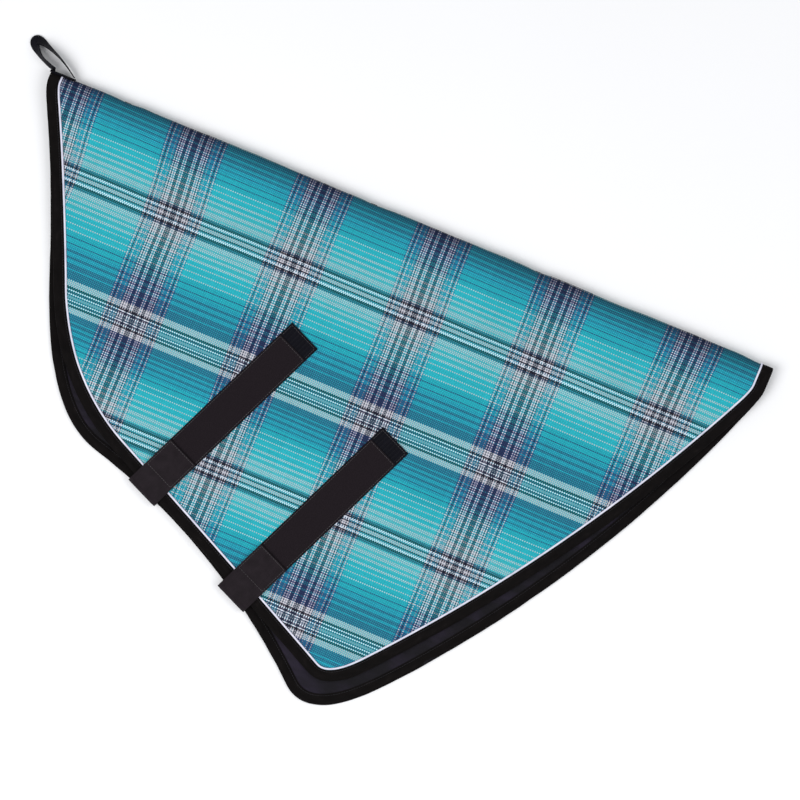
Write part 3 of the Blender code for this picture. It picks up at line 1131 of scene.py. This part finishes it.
def poll_loop():
    """A webbing ribbon that stands up at its roots and leans over at its tip."""
    centres = smooth_path([line[:3] for line in LOOP_LINE], LOOP_STEPS)
    shapes = smooth_path([(width, math.radians(tilt), 0) for *_, width, tilt in LOOP_LINE], LOOP_STEPS)
    points = []
    painted = []
    travelled = 0.0
    for i, (centre, shape) in enumerate(zip(centres, shapes)):
        along = direction(centres, i)
        side = along.cross(Vector((0, 0, 1))).normalized()
        up = side.cross(along).normalized()
        wide = up * math.cos(shape.y) - side * math.sin(shape.y)
        thin = along.cross(wide).normalized()
        travelled += (centre - centres[max(i - 1, 0)]).length
        for share, rise in ribbon(8):
            aside = shape.x / 2 * share
            points.append(centre + wide * aside + thin * (WEBBING / 2 * rise))
            painted.append((travelled, aside))
    faces = ring_faces(len(centres), 2 * RIBBON_ACROSS)
    paint = ("strap", painted)
    made = piece("poll_loop_ribbon", points, faces, WEB_SMOOTH, "webbing", "poll_loop", paint, 70)
    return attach(made, "poll_loop")


def loop_anchor():
    """The loop's ends, sewn down over the binding at the poll."""
    low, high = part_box("poll_loop_anchor")
    start, end = low.x - ORIGIN.x, high.x - ORIGIN.x
    inner = -FOLD_Y + GAP
    points = []
    painted = []
    for i in range(ANCHOR_RINGS):
        x = start + (end - start) * i / (ANCHOR_RINGS - 1)
        taper = 1 - 0.1 * (1 - smooth_step(min(i, ANCHOR_RINGS - 1 - i), 0, 2.5))
        for face, turns in ((1, range(ANCHOR_ACROSS)), (-1, range(ANCHOR_ACROSS - 1, -1, -1))):
            for step in turns:
                share = 2 * step / (ANCHOR_ACROSS - 1) - 1
                angle = ANCHOR_TURN * taper * share
                rise = 0.0
                if face > 0:
                    rise = WEBBING * (1 - 0.35 * abs(share) ** 8)
                    rise += 0.00025 * noise.noise((x * 160, share * 3, 5.1))
                points.append(over_fold(x, inner + rise, angle)[0])
                painted.append((x, angle * inner))
    faces = ring_faces(ANCHOR_RINGS, 2 * ANCHOR_ACROSS)
    node = "poll_loop_anchor"
    made = piece(node + "_webbing", points, faces, WEB_SMOOTH, "webbing", node, ("strap", painted), 60)
    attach(made, "crest")
    rows = []
    for share in (-0.72, 0.72):
        path = []
        for i in range(13):
            x = start + 0.003 + (end - start - 0.006) * i / 12
            point, out = over_fold(x, inner + WEBBING + 0.0001, ANCHOR_TURN * share)
            path.append(point)
        rows += stitches_along(path, out, 0.003)
    return made, thread_mesh(node + "_stitches", rows, "crest")


loop = poll_loop()
anchor = loop_anchor()


# --- Closure straps ---

PILE_SUNK = 0.0002
PILE_SEWN = HOOK_AND_LOOP_WIDTH / 2 - 0.0018
WEBBING_SEWN = WEBBING_WIDTH / 2 - 0.003
TAB_START = 0.004
TAB_DIP = 0.0025


def band(node, kind, strap, path, size, lift, look, slot):
    """Webbing or tape that follows a path of (distance up the strap, height) pairs, as wide as the strap."""
    foot, along, across = strap
    width, thickness = size
    path = [Vector(p) for p in path]
    points = []
    painted = []
    travelled = path[0].x
    for i, (d, z) in enumerate(path):
        way = direction(path, i)
        normal = Vector((-way.y, way.x))
        travelled += (path[i] - path[max(i - 1, 0)]).length
        for share, rise in ribbon(10):
            off_middle = normal * (thickness / 2 * rise)
            place = foot + along * (d + off_middle.x) + across * (share * width / 2)
            points.append((place.x, place.y, z + off_middle.y + lift(place.x, place.y)))
            painted.append((travelled, share * width / 2))
    faces = ring_faces(len(path), 2 * RIBBON_ACROSS)
    return piece(f"{node}_{kind}", points, faces, look, slot, node, ("strap", painted), 55)


def level(start, end, z, step=0.006):
    count = max(round((end - start) / step), 1)
    return [(start + (end - start) * i / count, z) for i in range(count + 1)]


def strap_point(strap, d, s, z, lift):
    foot, along, across = strap
    place = foot + along * d + across * s
    return Vector((place.x, place.y, z + lift(place.x, place.y)))


def stitched(strap, start, end, edge, z, closed=False):
    """Rows of stitches up both edges of a strap and across its end, and across its start too if closed."""
    lines = [((start, -edge), (end, -edge)), ((start, edge), (end, edge)), ((end, -edge), (end, edge))]
    if closed:
        lines.append(((start, -edge), (start, edge)))
    rows = []
    for (d, s), (to_d, to_s) in lines:
        count = max(round(math.hypot(to_d - d, to_s - s) / 0.006), 2)
        path = []
        for i in range(count + 1):
            place = (d + (to_d - d) * i / count, s + (to_s - s) * i / count)
            path.append(strap_point(strap, *place, z, near_lift))
        rows += stitches_along(path)
    return rows


def closure(name):
    strap = STRAP_FRAMES[name]
    strip = name + "_strip"
    tab = name + "_tab"
    outer = reach_in_band(OFF_EDGE, *strap, WEBBING_WIDTH)[0] - GAP
    start = reach_in_band(NEAR_SEAM, *strap, WEBBING_WIDTH)[1] + PIPING_WIDTH + 2 * GAP
    end_line = STRIP_LENGTH - STRIP_END_TAB

    path = level(start, STRIP_LENGTH, STRIP_LOW + WEBBING / 2)
    backing = band(strip + "_backing", "webbing", strap, path, WEB_SIZE, near_lift, WEB_SMOOTH, "webbing")
    path = level(start + TAPE_MARGIN, end_line, LOOP_TAPE_LOW + HOOK_AND_LOOP / 2 - PILE_SUNK)
    loops = band(strip + "_loop_tape", "pile", strap, path, PILE_SIZE, near_lift, LOOPS, "loop_tape")
    for made in (backing, loops):
        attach(made, "near_side")

    top = LOOP_TAPE_LOW + HOOK_AND_LOOP - PILE_SUNK
    rows = stitched(strap, TAB_LENGTH + 0.003, end_line - 0.002, PILE_SEWN, top)
    rows += stitched(strap, end_line + 0.003, STRIP_LENGTH - 0.003, WEBBING_SEWN, STRIP_LOW + WEBBING)
    strip_sewing = thread_mesh(strip + "_stitches", rows, "near_side", STRAP_SEWING)

    def tab_height(d):
        return TAB_LOW + WEBBING / 2 - TAB_DIP * (1 - smooth_step(d, outer, start))

    # The tab's webbing comes from under the off half, up round both edges and down onto the strip.
    edge_place = strap[0] + strap[1] * outer
    high = tab_height(outer) + near_lift(edge_place.x, edge_place.y)
    under = WEBBING / 2
    wrap = [
        (TAB_ANCHOR_LENGTH, under),
        (TAB_ANCHOR_LENGTH - 0.02, under),
        (outer + 0.02, under),
        (outer + 0.005, under),
        (outer + 0.001, under + 0.0007),
        (outer - 0.001, under + 0.0034),
        (outer - 0.0016, (under + high) / 2),
        (outer - 0.0012, high - 0.0035),
        (outer + 0.0006, high - 0.0008),
        (outer + TAB_START, high),
    ]
    anchor_band = band(tab + "_anchor", "webbing", strap, smooth_path(wrap, 5), WEB_SIZE, flat, WEB, "webbing")
    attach(anchor_band, "off_side")

    path = [(d, tab_height(d)) for d, _ in level(outer + TAB_START, TAB_LENGTH, 0, 0.004)]
    webbing = band(tab + "_webbing", "band", strap, path, WEB_SIZE, near_lift, WEB, "webbing")
    bend_start = strap_point(strap, outer - 0.001, 0, TAB_LOW, flat) + ORIGIN
    bend_end = strap_point(strap, outer + 0.016, 0, TAB_LOW, flat) + ORIGIN
    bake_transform(webbing)

    path = level(start + TAPE_MARGIN, TAB_LENGTH - TAPE_MARGIN, HOOK_TAPE_LOW + HOOK_AND_LOOP / 2 + 0.0001)
    hooks = band(tab + "_hook_tape", "pile", strap, path, PILE_SIZE, near_lift, HOOKS, "hook_tape")
    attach(hooks, name + "_tab")

    rows = stitched(strap, start + 0.004, TAB_LENGTH - 0.0015, PILE_SEWN, TAB_LOW + WEBBING, closed=True)
    tab_sewing = thread_mesh(tab + "_stitches", rows, tab, STRAP_SEWING)
    return {
        "near_side": [backing, loops, strip_sewing],
        "off_side": [anchor_band, webbing, hooks, tab_sewing],
    }


closures = [closure(name) for name in STRAPS]


# --- Outlines of the halves' cloth ---


over_crest = [*crest_trim, *tacks, *anchor, loop]
for side, made, seam, held, rests, part, others in (
    ("near_side", near, NEAR_SEAM, "folded", "off_side_lining_satin", "over", over_crest),
    ("off_side", off, OFF_SEAM, "laid", "floor", "under", []),
):
    outline = offset(seam, INSET)


# --- Floor, light and camera ---

VIEW_CENTRE = Vector((0.0961, 0.0813, 0.0))
VIEW_WIDTH = 1.080
VIEW_TURN = math.radians(22.4)
CAMERA_HEIGHT = 4.0
CLOTH_HEIGHT = 0.015
SENSOR = 36.0
FLOOR_REACH = 6.0
FLOOR_TONES = [(0.0, (0.92, 0.92, 0.93, 1)), (1.0, (0.94, 0.94, 0.95, 1))]
SKY_COLOUR = (0.95, 0.97, 1.0, 1)
SKY_STRENGTH = 0.44
# Name, place, size and power of each lamp.
LAMPS = (
    ("key_light", (-1.3, -1.5, 2.6), 2.4, 76),
    ("fill_light", (1.9, 0.6, 2.4), 2.4, 32),
)


def floor():
    mesh = bpy.data.meshes.new("floor")
    corners = [(x * FLOOR_REACH, y * FLOOR_REACH, 0) for x, y in ((-1, -1), (1, -1), (1, 1), (-1, 1))]
    mesh.from_pydata(corners, [], [(0, 1, 2, 3)])
    look = Look("floor_finish", Roughness=0.9, Specular_IOR_Level=0.1)
    look.colour(look.ramp(look.grain(3.0), FLOOR_TONES))
    mesh.materials.append(look.material)
    placed("floor", mesh)


def lamp(name, place, size, power):
    light = bpy.data.lights.new(name, "AREA")
    light.shape = "DISK"
    light.size = size
    light.energy = power
    made = placed(name, light, place)
    made.rotation_euler = (-Vector(place)).to_track_quat("-Z", "Y").to_euler()


def camera():
    lens = bpy.data.cameras.new("camera")
    lens.sensor_width = SENSOR
    lens.lens = SENSOR * (CAMERA_HEIGHT - CLOTH_HEIGHT) / VIEW_WIDTH
    lens.clip_end = 20
    made = placed("camera", lens, VIEW_CENTRE + Vector((0, 0, CAMERA_HEIGHT)))
    made.rotation_euler = (0, 0, VIEW_TURN)
    bpy.context.scene.camera = made


def world():
    made = bpy.data.worlds.new("studio")
    made.use_nodes = True
    sky = made.node_tree.nodes["Background"]
    sky.inputs["Color"].default_value = SKY_COLOUR
    sky.inputs["Strength"].default_value = SKY_STRENGTH
    bpy.context.scene.world = made


floor()
for values in LAMPS:
    lamp(*values)
camera()
world()
bpy.context.scene.view_settings.view_transform = "Standard"
